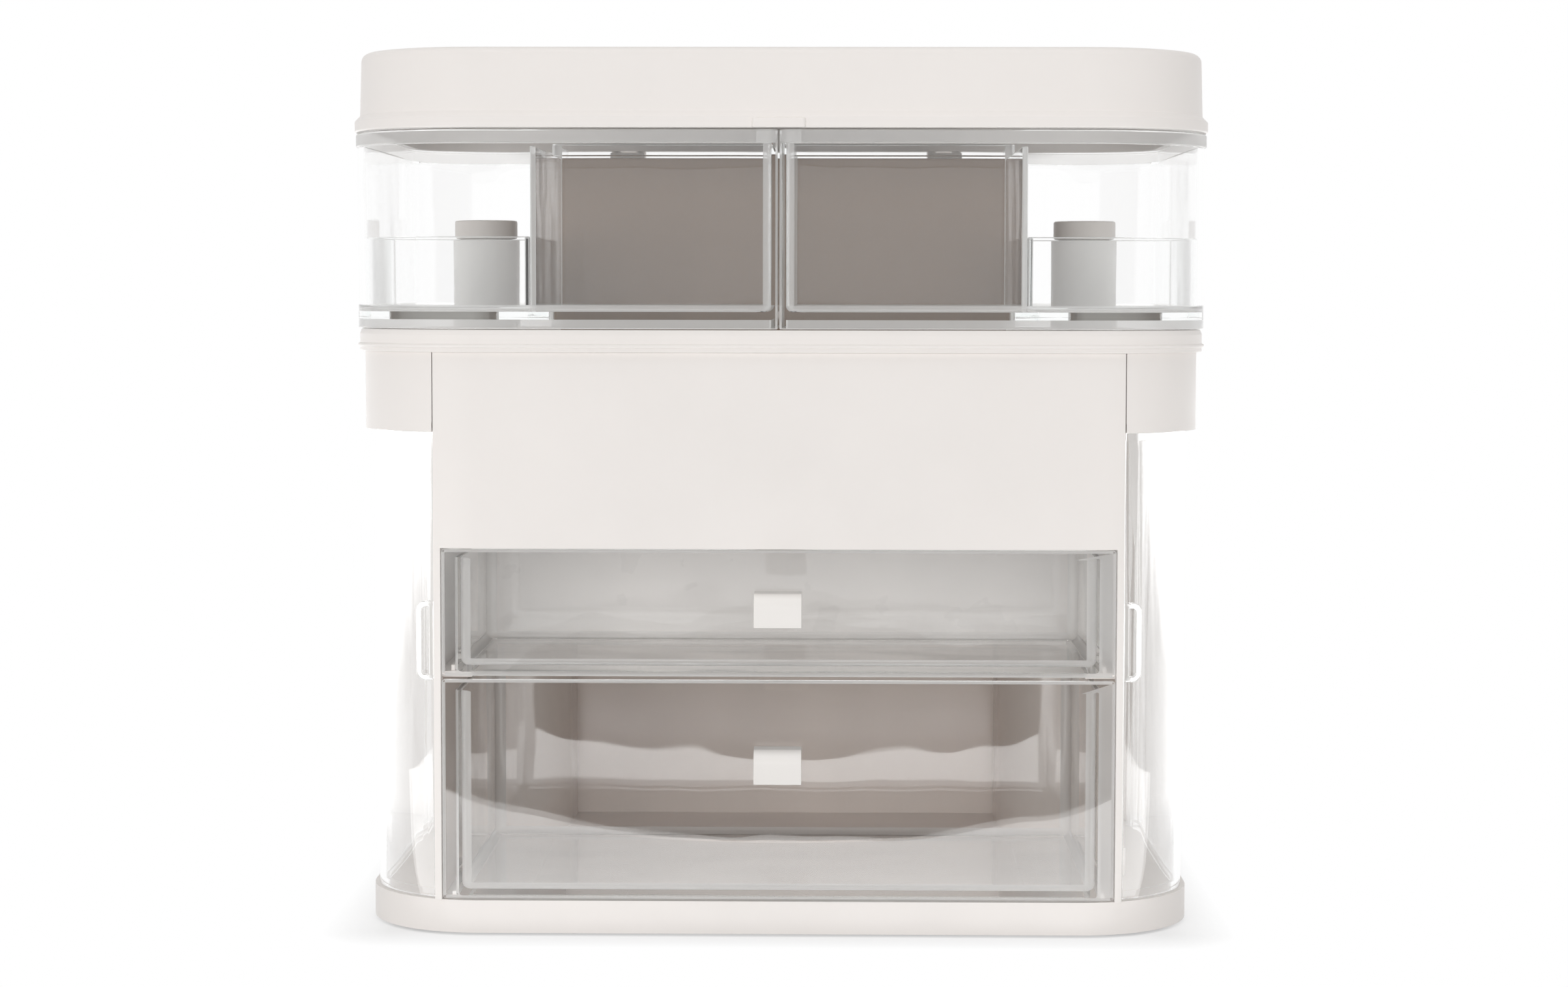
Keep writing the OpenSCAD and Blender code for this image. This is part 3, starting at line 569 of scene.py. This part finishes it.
# The bay walls carry the warm taupe that paints the shade deep in the bay.
from_node("bay_liner", "cabinet", "taupe_plastic", LINER_SHADE_TAUPE, 0.2 * MM)
from_node("runner_frame", "cabinet", "light_grey_plastic", LIGHT_GREY, 0.3 * MM)
from_node("storage_tray", "cabinet", "light_grey_plastic", LIGHT_GREY, 0.4 * MM)
for side in ("left", "right"):
    from_node("door_" + side, "door_" + side, "clear_plastic", CLEAR, 0.4 * MM)
    # The posts get the greyer copy of light grey plastic, which paints their shade.
    from_node("pivot_post_" + side, "cabinet", "light_grey_plastic", POST_SHADE_GREY, 0.4 * MM)
    from_node("post_cap_" + side, "cabinet", "grey_plastic", GREY, 0.8 * MM)

# %% Finishes on the small nodes that stay


def recolour(names, material):
    """Puts a finish on nodes of the frame."""
    for name in names:
        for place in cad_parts[name].material_slots:
            place.material = material


recolour([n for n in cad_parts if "screw" in n or n.endswith("_pins")], STEEL)
recolour(["wing_left_magnet", "wing_right_magnet"], MAGNET)
recolour(["rubber_feet"], RUBBER)
print("small nodes finished")

# %% [markdown]
# ## The lid
# The lid is a hollow cap about 30 mm tall with a stepped rim. Its outer wall leans in a little towards the
# top, as a moulding must to leave its mould, and rolls into the flat top. One section does it all: up the
# inside, out under the rim, over the rim's slope and up the wall.

# %% Make the lid

LID_Z = low("lid_shell")[2]
lid_h = (high("lid_shell")[2] - LID_Z) / MM
LID_IN, LID_TOP_T = 1.2, 2.4
LID_RIM, LID_RIM_H = 3.7, 4.4
LID_WALL_FOOT, LID_WALL_HEAD = (1.5, 6.6), (0.8, lid_h)
LID_TOP_R = 3.3
lid_section = section(
    [(-LID_IN, lid_h - LID_TOP_T), (-LID_IN, 0), (LID_RIM, 0), (LID_RIM, LID_RIM_H), LID_WALL_FOOT,
     LID_WALL_HEAD, (-12, lid_h)],
    [0.4, 0.8, 0.9, 0.5, LID_TOP_R], steps=8)
lid = surface("lid", solid(carry(lid_section, CASE, CASE_R, LID_Z)))


def rounded_block(name, x0, x1, y0, y1, z0, z1, edge):
    """Box with rounded vertical edges and a small radius above and below."""
    e = edge / MM
    h = (z1 - z0) / MM
    profile = section([(-2 * e, 0), (0, 0), (0, h), (-2 * e, h)], [e, e], steps=4)
    return surface(name, solid(carry(profile, rectangle(x0, x1, y0, y1), [2.5 * edge] * 4, z0)))


TAB_HALF_W, TAB_L = 10.4 * MM, 5.2 * MM
TAB_Z0, TAB_Z1 = 0.1 * MM, 3.9 * MM
tab_tip = low("lid_shell")[1]
combine(lid, rounded_block("tab", -TAB_HALF_W, TAB_HALF_W, tab_tip, tab_tip + TAB_L, LID_Z + TAB_Z0,
                           LID_Z + TAB_Z1, 0.5 * MM))
settle(lid, "lid", "white_plastic", WHITE, ("lid_shell",))

# %% [markdown]
# ## The mid tray
# The tray closes the lower case and carries everything above it. Its rim has a bead along the foot and a
# sloped lip along the top, and its deck has one hole for the storage tray and one for the centre well.

# %% Make the mid tray

TRAY_Z = low("mid_tray")[2]
DECK_FOOT, DECK_T, TRAY_H = 2, 2.5, 8.8
TRAY_WALL, TRAY_IN = 2.1, 1.4
bead = [(TRAY_WALL, 1.6), (2.9, 2.0), (2.9, 2.9), (TRAY_WALL, 3.3)]
lip = [(TRAY_WALL, 6.9), (1.4, TRAY_H), (-TRAY_IN, TRAY_H)]
tray_section = section(
    [(-TRAY_IN, DECK_FOOT), (-TRAY_IN, 0), (TRAY_WALL, 0), *bead, *lip, (-TRAY_IN, DECK_FOOT + DECK_T)],
    [0.2, 0.4, 0.2, 0.35, 0.35, 0.2, 0.5, 0.6, 0.5])
tray_rings = carry(tray_section, CASE, CASE_R, TRAY_Z)
HOLE_GAP = 0.3 * MM
store_low, store_high = low("storage_tray"), high("storage_tray")
well_low, well_high = low("centre_well"), high("centre_well")
STORE_LIP = np.array([2.0, 1.3]) * MM
WELL_LIP = np.array([1.6, 1.4]) * MM


def hole_rings(low_corner, high_corner, lip):
    """Rings of the hole that a hanging box passes through, at the deck's underside and its top."""
    x0, y0 = low_corner[:2] + lip - HOLE_GAP
    x1, y1 = high_corner[:2] - lip + HOLE_GAP
    path = rounded(rectangle(x0, x1, y0, y1), [1.5 * MM] * 4)
    return at_height(np.stack([path, path]), TRAY_Z + np.array([DECK_FOOT, DECK_FOOT + DECK_T]) * MM)


holes = [hole_rings(store_low, store_high, STORE_LIP), hole_rings(well_low, well_high, WELL_LIP)]
tray_parts = [skin(tray_rings), cap(tray_rings[0], [h[0] for h in holes], up=False),
              cap(tray_rings[-1], [h[1] for h in holes])] + [skin(h) for h in holes]
settle(surface("mid_tray_moulded", tray_parts), "cabinet", "white_plastic", WHITE, ("mid_tray",))

# %% [markdown]
# ## The centre well
# Behind the two bins stands a deep fixed box of glossy taupe plastic. Its front wall is the dark panel
# that shows through both bins, and its rolled upper edge is where the light catches.

# %% Make the well

WELL_Z = well_low[2]
well_h = (well_high[2] - WELL_Z) / MM
deck_top = (TRAY_Z + (DECK_FOOT + DECK_T) * MM - WELL_Z) / MM
WALL, FLANGE, FLANGE_TOP = 2.0, 1.6, deck_top + 1.7
well_section = section(
    [(-8, 0), (0, 0), (0, deck_top), (FLANGE, deck_top + 0.1), (FLANGE, FLANGE_TOP), (0, FLANGE_TOP),
     (0, well_h), (-WALL, well_h), (-WALL, WALL), (-12, WALL)],
    [2.5, 0.05, 0.3, 0.3, 0.5, 0.95, 0.95, 2.5], steps=6)
well_plan = rectangle(well_low[0] + WELL_LIP[0], well_high[0] - WELL_LIP[0],
                      well_low[1] + WELL_LIP[1], well_high[1] - WELL_LIP[1])
well = surface("well", solid(carry(well_section, well_plan, [3 * MM] * 4, WELL_Z)))
settle(well, "cabinet", "taupe_plastic", TAUPE, ("centre_well",))

# %% [markdown]
# ## The clear bins
# Each bin is an L in plan: a deep box across the front, and an arm along the side that ends in a half
# round about the pivot. A skirt below the floor hides the gap, a thick band strengthens the top, and a
# sleeve inside the arm turns on the post. It is drawn for the right and mirrored for the left.

# %% Outline of a bin

SEAM = 0.35 * MM
OUT = 2.6 * MM
WALL_T = 2.5
PIVOT = np.array([HALF_W - BACK_R, BACK_Y - BACK_R])
END_R = BACK_R + OUT
BIN_Z, BIN_TOP = low("wing_right_bin")[2], high("wing_right_bin")[2]
BIN_BACK = high("wing_right_divider")[1] + (WALL_T + 0.3) * MM
bin_top = (BIN_TOP - BIN_Z) / MM
FLOOR_UNDER, FLOOR_TOP = 3.6, 6.6
BAND_H, BAND_STEP, BAND_OUT = 5.3, 0.5, 0.6 * MM
band_low = bin_top - BAND_H
band_high = band_low + BAND_STEP
SEAM_R, SEAM_IN_R, ARM_R = 0.9 * MM, 3.2 * MM, 2.4 * MM

BIN_PLAN = [(SEAM, FRONT_Y - OUT), (HALF_W + OUT, FRONT_Y - OUT), (HALF_W + OUT, BACK_Y + OUT),
            (PIVOT[0] - END_R, BACK_Y + OUT), (PIVOT[0] - END_R, BIN_BACK), (SEAM, BIN_BACK)]
OUTER_R = np.array([SEAM_R, FRONT_R + OUT, END_R, END_R, ARM_R, SEAM_R])
INNER_R = np.array([SEAM_IN_R, FRONT_R + OUT, END_R, END_R, ARM_R, SEAM_IN_R])
AT_SEAM = np.array([True, False, False, False, False, True])
ON_CASE = np.array([1, 1, 1, 0, 0, 0])


def bin_rings(profile, radii, band=0):
    """Rings of a section round a bin. band is how far each ring stands out on the edges over the case,
    and the corners by the seam keep their radii however far the ring lies inside."""
    grow = profile[:, :1] + np.reshape(band, (-1, 1)) * ON_CASE
    r = np.where(AT_SEAM, radii - profile[:, :1], radii)
    paths = [rounded(BIN_PLAN, ri, g[None])[0] for ri, g in zip(r, grow)]
    return at_height(np.stack(paths), BIN_Z + profile[:, 1])


outer_profile = section(
    [(-WALL_T, FLOOR_UNDER), (-WALL_T, 0), (0, 0), (0, band_low), (0, band_high), (0, bin_top),
     (-WALL_T / 2, bin_top)], [0.5, 0.5, 0, 0, 0.7])
band = np.where(outer_profile[:, 1] > (band_low + BAND_STEP / 2) * MM, BAND_OUT, 0)
inner_profile = section(
    [(-WALL_T / 2, bin_top), (BAND_STEP - WALL_T, bin_top), (BAND_STEP - WALL_T, band_high),
     (-WALL_T, band_low), (-WALL_T, FLOOR_TOP), (-WALL_T - 5, FLOOR_TOP)],
    [0.6, 0.2, 0.2, 2.6], steps=7)
print("bin outline:", len(rounded(BIN_PLAN, OUTER_R)), "points a ring")

# %% Make both bins and their trims

SLEEVE_R = 15.1 * MM
BORE_R = 12.08 * MM
SLEEVE_TOP = BIN_Z + 36.4 * MM
SLEEVE_EDGE = 0.4 * MM


def bin_parts():
    """The bin as one closed skin: skirt, outer wall, rim, inner wall and floor, with the sleeve let in."""
    outer = bin_rings(outer_profile, OUTER_R, band)
    inner = bin_rings(inner_profile, INNER_R)
    floor_z = BIN_Z + FLOOR_TOP * MM
    under_z = BIN_Z + FLOOR_UNDER * MM
    sleeve = [disc_ring(*PIVOT, z, radius) for radius, z in (
        (SLEEVE_R, floor_z), (SLEEVE_R, SLEEVE_TOP - SLEEVE_EDGE), (SLEEVE_R - SLEEVE_EDGE, SLEEVE_TOP),
        (BORE_R, SLEEVE_TOP), (BORE_R, BIN_Z), (SLEEVE_R, BIN_Z), (SLEEVE_R, under_z))]
    return [skin(np.concatenate([outer, inner])), skin(np.stack(sleeve)),
            cap(inner[-1], [sleeve[0]]), cap(outer[0], [sleeve[-1]], up=False)]


def mirrored(parts):
    """The same parts on the other side of the middle plane."""
    return [(points * [-1, 1, 1], faces[:, ::-1]) for points, faces in parts]


CATCH_W, CATCH_H, CATCH_L = 8.35, 5.2, 1.6
for side, flip in (("right", lambda parts: parts), ("left", mirrored)):
    wing = "wing_" + side
    clear_bin = surface(wing + "_clear_bin", flip(bin_parts()))
    settle(clear_bin, wing, "clear_plastic", CLEAR, (wing + "_bin",))
    sign = 1 if side == "right" else -1
    # The whole sleeve gets the same painted highlight as the small roundings.
    paint_highlight_near(clear_bin, PIVOT * [sign, 1], SLEEVE_R + 0.2 * MM)
    catch_profile = section([(-1.2, 0), (0, 0), (0, CATCH_H), (-1.2, CATCH_H)], [0.4, 0.4], steps=3)
    catch_plan = rectangle(SEAM + (WALL_T + 0.02) * MM, SEAM + CATCH_W * MM,
                           FRONT_Y - (BAND_STEP + 0.08) * MM, FRONT_Y + CATCH_L * MM)
    catch = solid(carry(catch_profile, catch_plan, [0.3 * MM] * 4, BIN_Z + band_low * MM))
    catch = settle(surface(wing + "_catch", flip(catch)), wing, "clear_plastic", CLEAR)
    # The whole catch gets the same painted highlight as the small roundings.
    paint_highlight_near(catch, (0, FRONT_Y), 2 * CATCH_W * MM)
    from_node(wing + "_divider", wing, "clear_plastic", CLEAR, 0.4 * MM)
    from_node(wing + "_insert", wing, "clear_plastic", CLEAR, 0.4 * MM)

# %% [markdown]
# ## The drawers
# A drawer is an open box with a larger plate across its front. The box is a section carried round a
# rectangle, with wide radii inside where the floor meets the walls. The plate is a rounded slab, and
# both are joined as one solid, because clear plastic would show any wall left between them.

# %% Make a drawer

DRAWER_WALL = 2.4
DRAWER_CORNER_R = 6.4 * MM
PLATE_T = 2.5 * MM
PLATE_SIDE = 4.8 * MM


def slab(name, x0, x1, y0, y1, z0, z1, corner, edge):
    """Upright plate: a rounded rectangle in X and Z carried through its thickness along Y."""
    t = (y1 - y0) / MM
    e = edge / MM
    profile = section([(-2 * e, 0), (0, 0), (0, t), (-2 * e, t)], [e, e], steps=4)
    flat = solid(carry(profile, rectangle(x0, x1, -z1, -z0), [corner] * 4, y0))
    return surface(name, [(points[:, [0, 2, 1]] * [1, 1, -1], faces[:, ::-1]) for points, faces in flat])


def drawer(name, node, box_top_drop, floor_up):
    """Drawer box joined to its front plate, which is wider, higher and lower than the box."""
    lo, hi = low(node), high(node)
    floor_z = lo[2] + floor_up * MM
    h = (hi[2] - box_top_drop * MM - floor_z) / MM
    walls = section([(-6, 0), (0, 0), (0, h), (-DRAWER_WALL, h), (-DRAWER_WALL, DRAWER_WALL),
                     (-DRAWER_WALL - 8, DRAWER_WALL)], [1.2, 0.5, 0.5, 2.8], steps=6)
    box = rectangle(lo[0] + PLATE_SIDE, hi[0] - PLATE_SIDE, lo[1] + PLATE_T - DRAWER_WALL * MM, hi[1])
    body = surface(name, solid(carry(walls, box, [DRAWER_CORNER_R] * 4, floor_z)))
    plate = slab("plate", lo[0], hi[0], lo[1], lo[1] + PLATE_T, lo[2], hi[2], 1.2 * MM, 0.6 * MM)
    combine(body, plate)
    return settle(body, node, "clear_plastic", CLEAR, (node,))


drawer("lower_drawer_box", "lower_drawer", 4.5, 0.8)
drawer("upper_drawer_box", "upper_drawer", 3.4, 1.5)

# %% [markdown]
# ## The pulls
# Each pull is a short strip bent into a hook: out from the front, over a soft bend, and down into a lip
# that a fingertip goes behind. The strip's middle line is an arc between two straight runs, and its two
# faces lie half a thickness either side of it.

# %% Make the pulls

PULL_T = 2.2 * MM
BEND_R = 4.2 * MM
LIP_LEAN = -0.5 * MM


def pull(node, body):
    """Hook of even thickness: middle line m(s), faces m(s) +- n(s) t/2, carried across the width."""
    lo, hi = low(node), high(node)
    out_y, in_y, top_z, foot_z = lo[1] + PULL_T / 2, hi[1], hi[2] - PULL_T / 2, lo[2]
    t = np.linspace(0, math.pi / 2, 12)
    bend = np.stack([out_y + BEND_R - BEND_R * np.sin(t), top_z - BEND_R + BEND_R * np.cos(t)], 1)
    line = np.vstack([[in_y, top_z], bend, [out_y + LIP_LEAN, foot_z]])
    step = np.gradient(line, axis=0)
    step /= np.linalg.norm(step, axis=1, keepdims=True)
    normal = np.stack([-step[:, 1], step[:, 0]], 1)
    loop = np.vstack([line + normal * PULL_T / 2, (line - normal * PULL_T / 2)[::-1]])
    widths = np.linspace(lo[0], hi[0], 2)
    rings = np.stack([np.insert(loop, 0, x, axis=1) for x in widths])
    strip = surface(node + "_hook", [skin(rings), (rings[0], np.arange(len(loop))[None]),
                                     (rings[1], np.arange(len(loop))[None, ::-1])])
    bevel(strip, 0.35 * MM)
    return settle(strip, body, "white_plastic", WHITE_GLOSS, (node,))


pull("lower_pull", "lower_drawer")
pull("upper_pull", "upper_drawer")

# %% [markdown]
# ## Floor and light
# The cabinet stands on a white sweep under soft light. The world and the floor show as plain white to the
# camera, to mirrors and through clear walls, and they light the object at their own, lower level. Far out
# at both sides the sweep runs brighter for mirrors alone, because the round corners of the side doors
# mirror it and look whiter than white paper. Close round the foot the floor glows less, which keeps the
# cabinet's own shadow.

# %% World and floor


def seen_white(tree):
    """1 for camera, glossy and transmission rays, 0 for all others."""
    ray = add(tree, "LightPath")
    mirror = larger(tree, ray.outputs["Is Glossy Ray"], ray.outputs["Is Transmission Ray"])
    return larger(tree, ray.outputs["Is Camera Ray"], mirror)


WORLD_LIGHT = 0.38
world = bpy.data.worlds.new("studio")
world.use_nodes = True
tree = world.node_tree
tree.nodes.clear()


def background(tree, strength):
    """White background of a given strength."""
    return add(tree, "Background", Color=(1, 1, 1, 1), Strength=strength).outputs[0]


shown = join_shaders(tree, seen_white(tree), background(tree, WORLD_LIGHT), background(tree, 1.0))
tree.links.new(shown, add(tree, "OutputWorld").inputs["Surface"])
bpy.context.scene.world = world

FLOOR_SIZE = 6.0
SIDE_LIGHT, SIDE_START, SIDE_BLEND = 2.4, 0.3, 0.15
CONTACT_HALF = (0.15, 0.092, 0)
CONTACT_GLOW, CONTACT_NEAR, CONTACT_FAR = 0.45, 0.002, 0.03
floor_points = np.array(rectangle(-FLOOR_SIZE, FLOOR_SIZE, -FLOOR_SIZE, FLOOR_SIZE))
floor = surface("floor", [(at_height(floor_points, 0.0), np.arange(4)[None])])
floor_material, tree = new_material("floor_white")


def floor_distance(tree, half_size):
    """Distance outside a box round the origin: the length of |place| - half_size, negative parts left out."""
    fold = add(tree, "VectorMath", operation="ABSOLUTE")
    tree.links.new(add(tree, "TexCoord").outputs["Object"], fold.inputs[0])
    past = add(tree, "VectorMath", operation="SUBTRACT")
    past.inputs[1].default_value = half_size
    tree.links.new(fold.outputs[0], past.inputs[0])
    outside = add(tree, "VectorMath", operation="MAXIMUM")
    outside.inputs[1].default_value = (0, 0, 0)
    tree.links.new(past.outputs[0], outside.inputs[0])
    reach = add(tree, "VectorMath", operation="LENGTH")
    tree.links.new(outside.outputs[0], reach.inputs[0])
    return reach.outputs["Value"]


matt = add(tree, "BsdfDiffuse", Color=(0.9, 0.9, 0.9, 1))
glow = add(tree, "Emission")
beside = spread(tree, floor_distance(tree, (SIDE_START, FLOOR_SIZE, 0)), 0, SIDE_LIGHT - 1, 0, SIDE_BLEND)
brightness = add(tree, "Math", operation="MULTIPLY_ADD")
tree.links.new(add(tree, "LightPath").outputs["Is Glossy Ray"], brightness.inputs[0])
tree.links.new(beside, brightness.inputs[1])
brightness.inputs[2].default_value = 1
tree.links.new(brightness.outputs[0], glow.inputs["Strength"])
near = floor_distance(tree, CONTACT_HALF)
share = add(tree, "Math", operation="MULTIPLY")
tree.links.new(spread(tree, near, CONTACT_GLOW, 1, CONTACT_NEAR, CONTACT_FAR), share.inputs[0])
tree.links.new(seen_white(tree), share.inputs[1])
shown = join_shaders(tree, share.outputs[0], matt.outputs[0], glow.outputs[0])
tree.links.new(shown, add(tree, "OutputMaterial").inputs["Surface"])
floor.data.materials.append(floor_material)
print("world light", WORLD_LIGHT)

# %% Lamps


def softbox(name, place, target, width, height, power):
    """Area lamp at place, facing target."""
    data = bpy.data.lights.new(name, "AREA")
    data.shape = "RECTANGLE"
    data.size = width
    data.size_y = height
    data.energy = power
    lamp = bpy.data.objects.new(name, data)
    direction = Vector(target) - Vector(place)
    lamp.matrix_world = Matrix.Translation(place) @ direction.to_track_quat("-Z", "Y").to_matrix().to_4x4()
    bpy.context.scene.collection.objects.link(lamp)
    return lamp


MIDDLE = (0, 0, 0.18)
LAMPS = (("front", (-0.3, -2.1, 0.36), 2.4, 0.66, 17.5), ("top", (0, -0.5, 1.7), 1.6, 1.2, 8),
         ("left", (-1.8, 0.1, 0.6), 1.2, 1.0, 4), ("right", (1.8, 0.1, 0.6), 1.2, 1.0, 3.5),
         ("back", (0, 2.0, 0.8), 1.6, 1.0, 9))
for name, place, width, height, power in LAMPS:
    lamp = softbox(name, place, MIDDLE, width, height, power)
    lamp.visible_glossy = False
    lamp.visible_transmission = False
print(len(LAMPS), "softboxes")

# %% [markdown]
# ## What the clear fronts mirror
# Clear walls are seen mostly by what they mirror. In front of the cabinet the table is a bright light
# panel, with a dark oval mat in the middle. The lower drawer mirrors the mat and shows its curved edge.
# The panel lights mirrors alone, and the mat darkens them alone, so the plain level of light on the
# moulded pieces stays as it was.

# %% Light panel and mat

PANEL_LIGHT = 3.0
PANEL_W, PANEL_NEAR, PANEL_FAR = 1.1, -0.115, -0.62
PANEL_L = PANEL_NEAR - PANEL_FAR
PANEL_Y = (PANEL_NEAR + PANEL_FAR) / 2
PANEL_Z, MAT_Z = 0.001, 0.002
panel = softbox("panel", (0, PANEL_Y, PANEL_Z), (0, PANEL_Y, 1), PANEL_W, PANEL_L,
                PANEL_LIGHT * math.pi * PANEL_W * PANEL_L)
panel.visible_diffuse = False
panel.visible_camera = False

MAT_MIDDLE = (0, -0.75)
MAT_HALF = (0.24, 0.45)
mat_ring = disc_ring(0, 0, MAT_Z, 1, n=96) * [*MAT_HALF, 1] + [*MAT_MIDDLE, 0]
mat = surface("mat", [cap(mat_ring)])
mat_material, tree = new_material("mat_dark")
felt = add(tree, "BsdfDiffuse", Color=(0.1, 0.1, 0.1, 1))
tree.links.new(felt.outputs[0], add(tree, "OutputMaterial").inputs["Surface"])
mat.data.materials.append(mat_material)
mat.visible_camera = False
mat.visible_diffuse = False
mat.visible_shadow = False
print("light panel", PANEL_W, "by", round(PANEL_L, 2), "m")

# %% [markdown]
# ## The camera
# The view is almost square on, from three quarters of the cabinet's height and tilted slightly down, so
# the front keeps its proportions and the floors of the drawers show. A lens of about 70 mm from 1.2 m away
# keeps the perspective mild.

# %% Camera

camera_data = bpy.data.cameras.new("camera")
camera_data.sensor_width = 36
camera_data.lens = 70.78
camera = bpy.data.objects.new("camera", camera_data)
CAMERA_X, CAMERA_AWAY, CAMERA_Z = 19.3, 1191.2, 252.1
place = Vector((CAMERA_X, FRONT_Y / MM - CAMERA_AWAY, CAMERA_Z)) * MM
YAW, PITCH, ROLL = 0.821, -3.743, -0.095
turn = Matrix.Identity(4)
for angle, axis in ((YAW, "Z"), (PITCH, "X"), (ROLL, "Y"), (90, "X")):
    turn = turn @ Matrix.Rotation(math.radians(angle), 4, axis)
camera.matrix_world = Matrix.Translation(place) @ turn
bpy.context.scene.collection.objects.link(camera)
bpy.context.scene.camera = camera
bpy.context.scene.view_settings.view_transform = "Standard"
print("camera", [round(v, 3) for v in place])
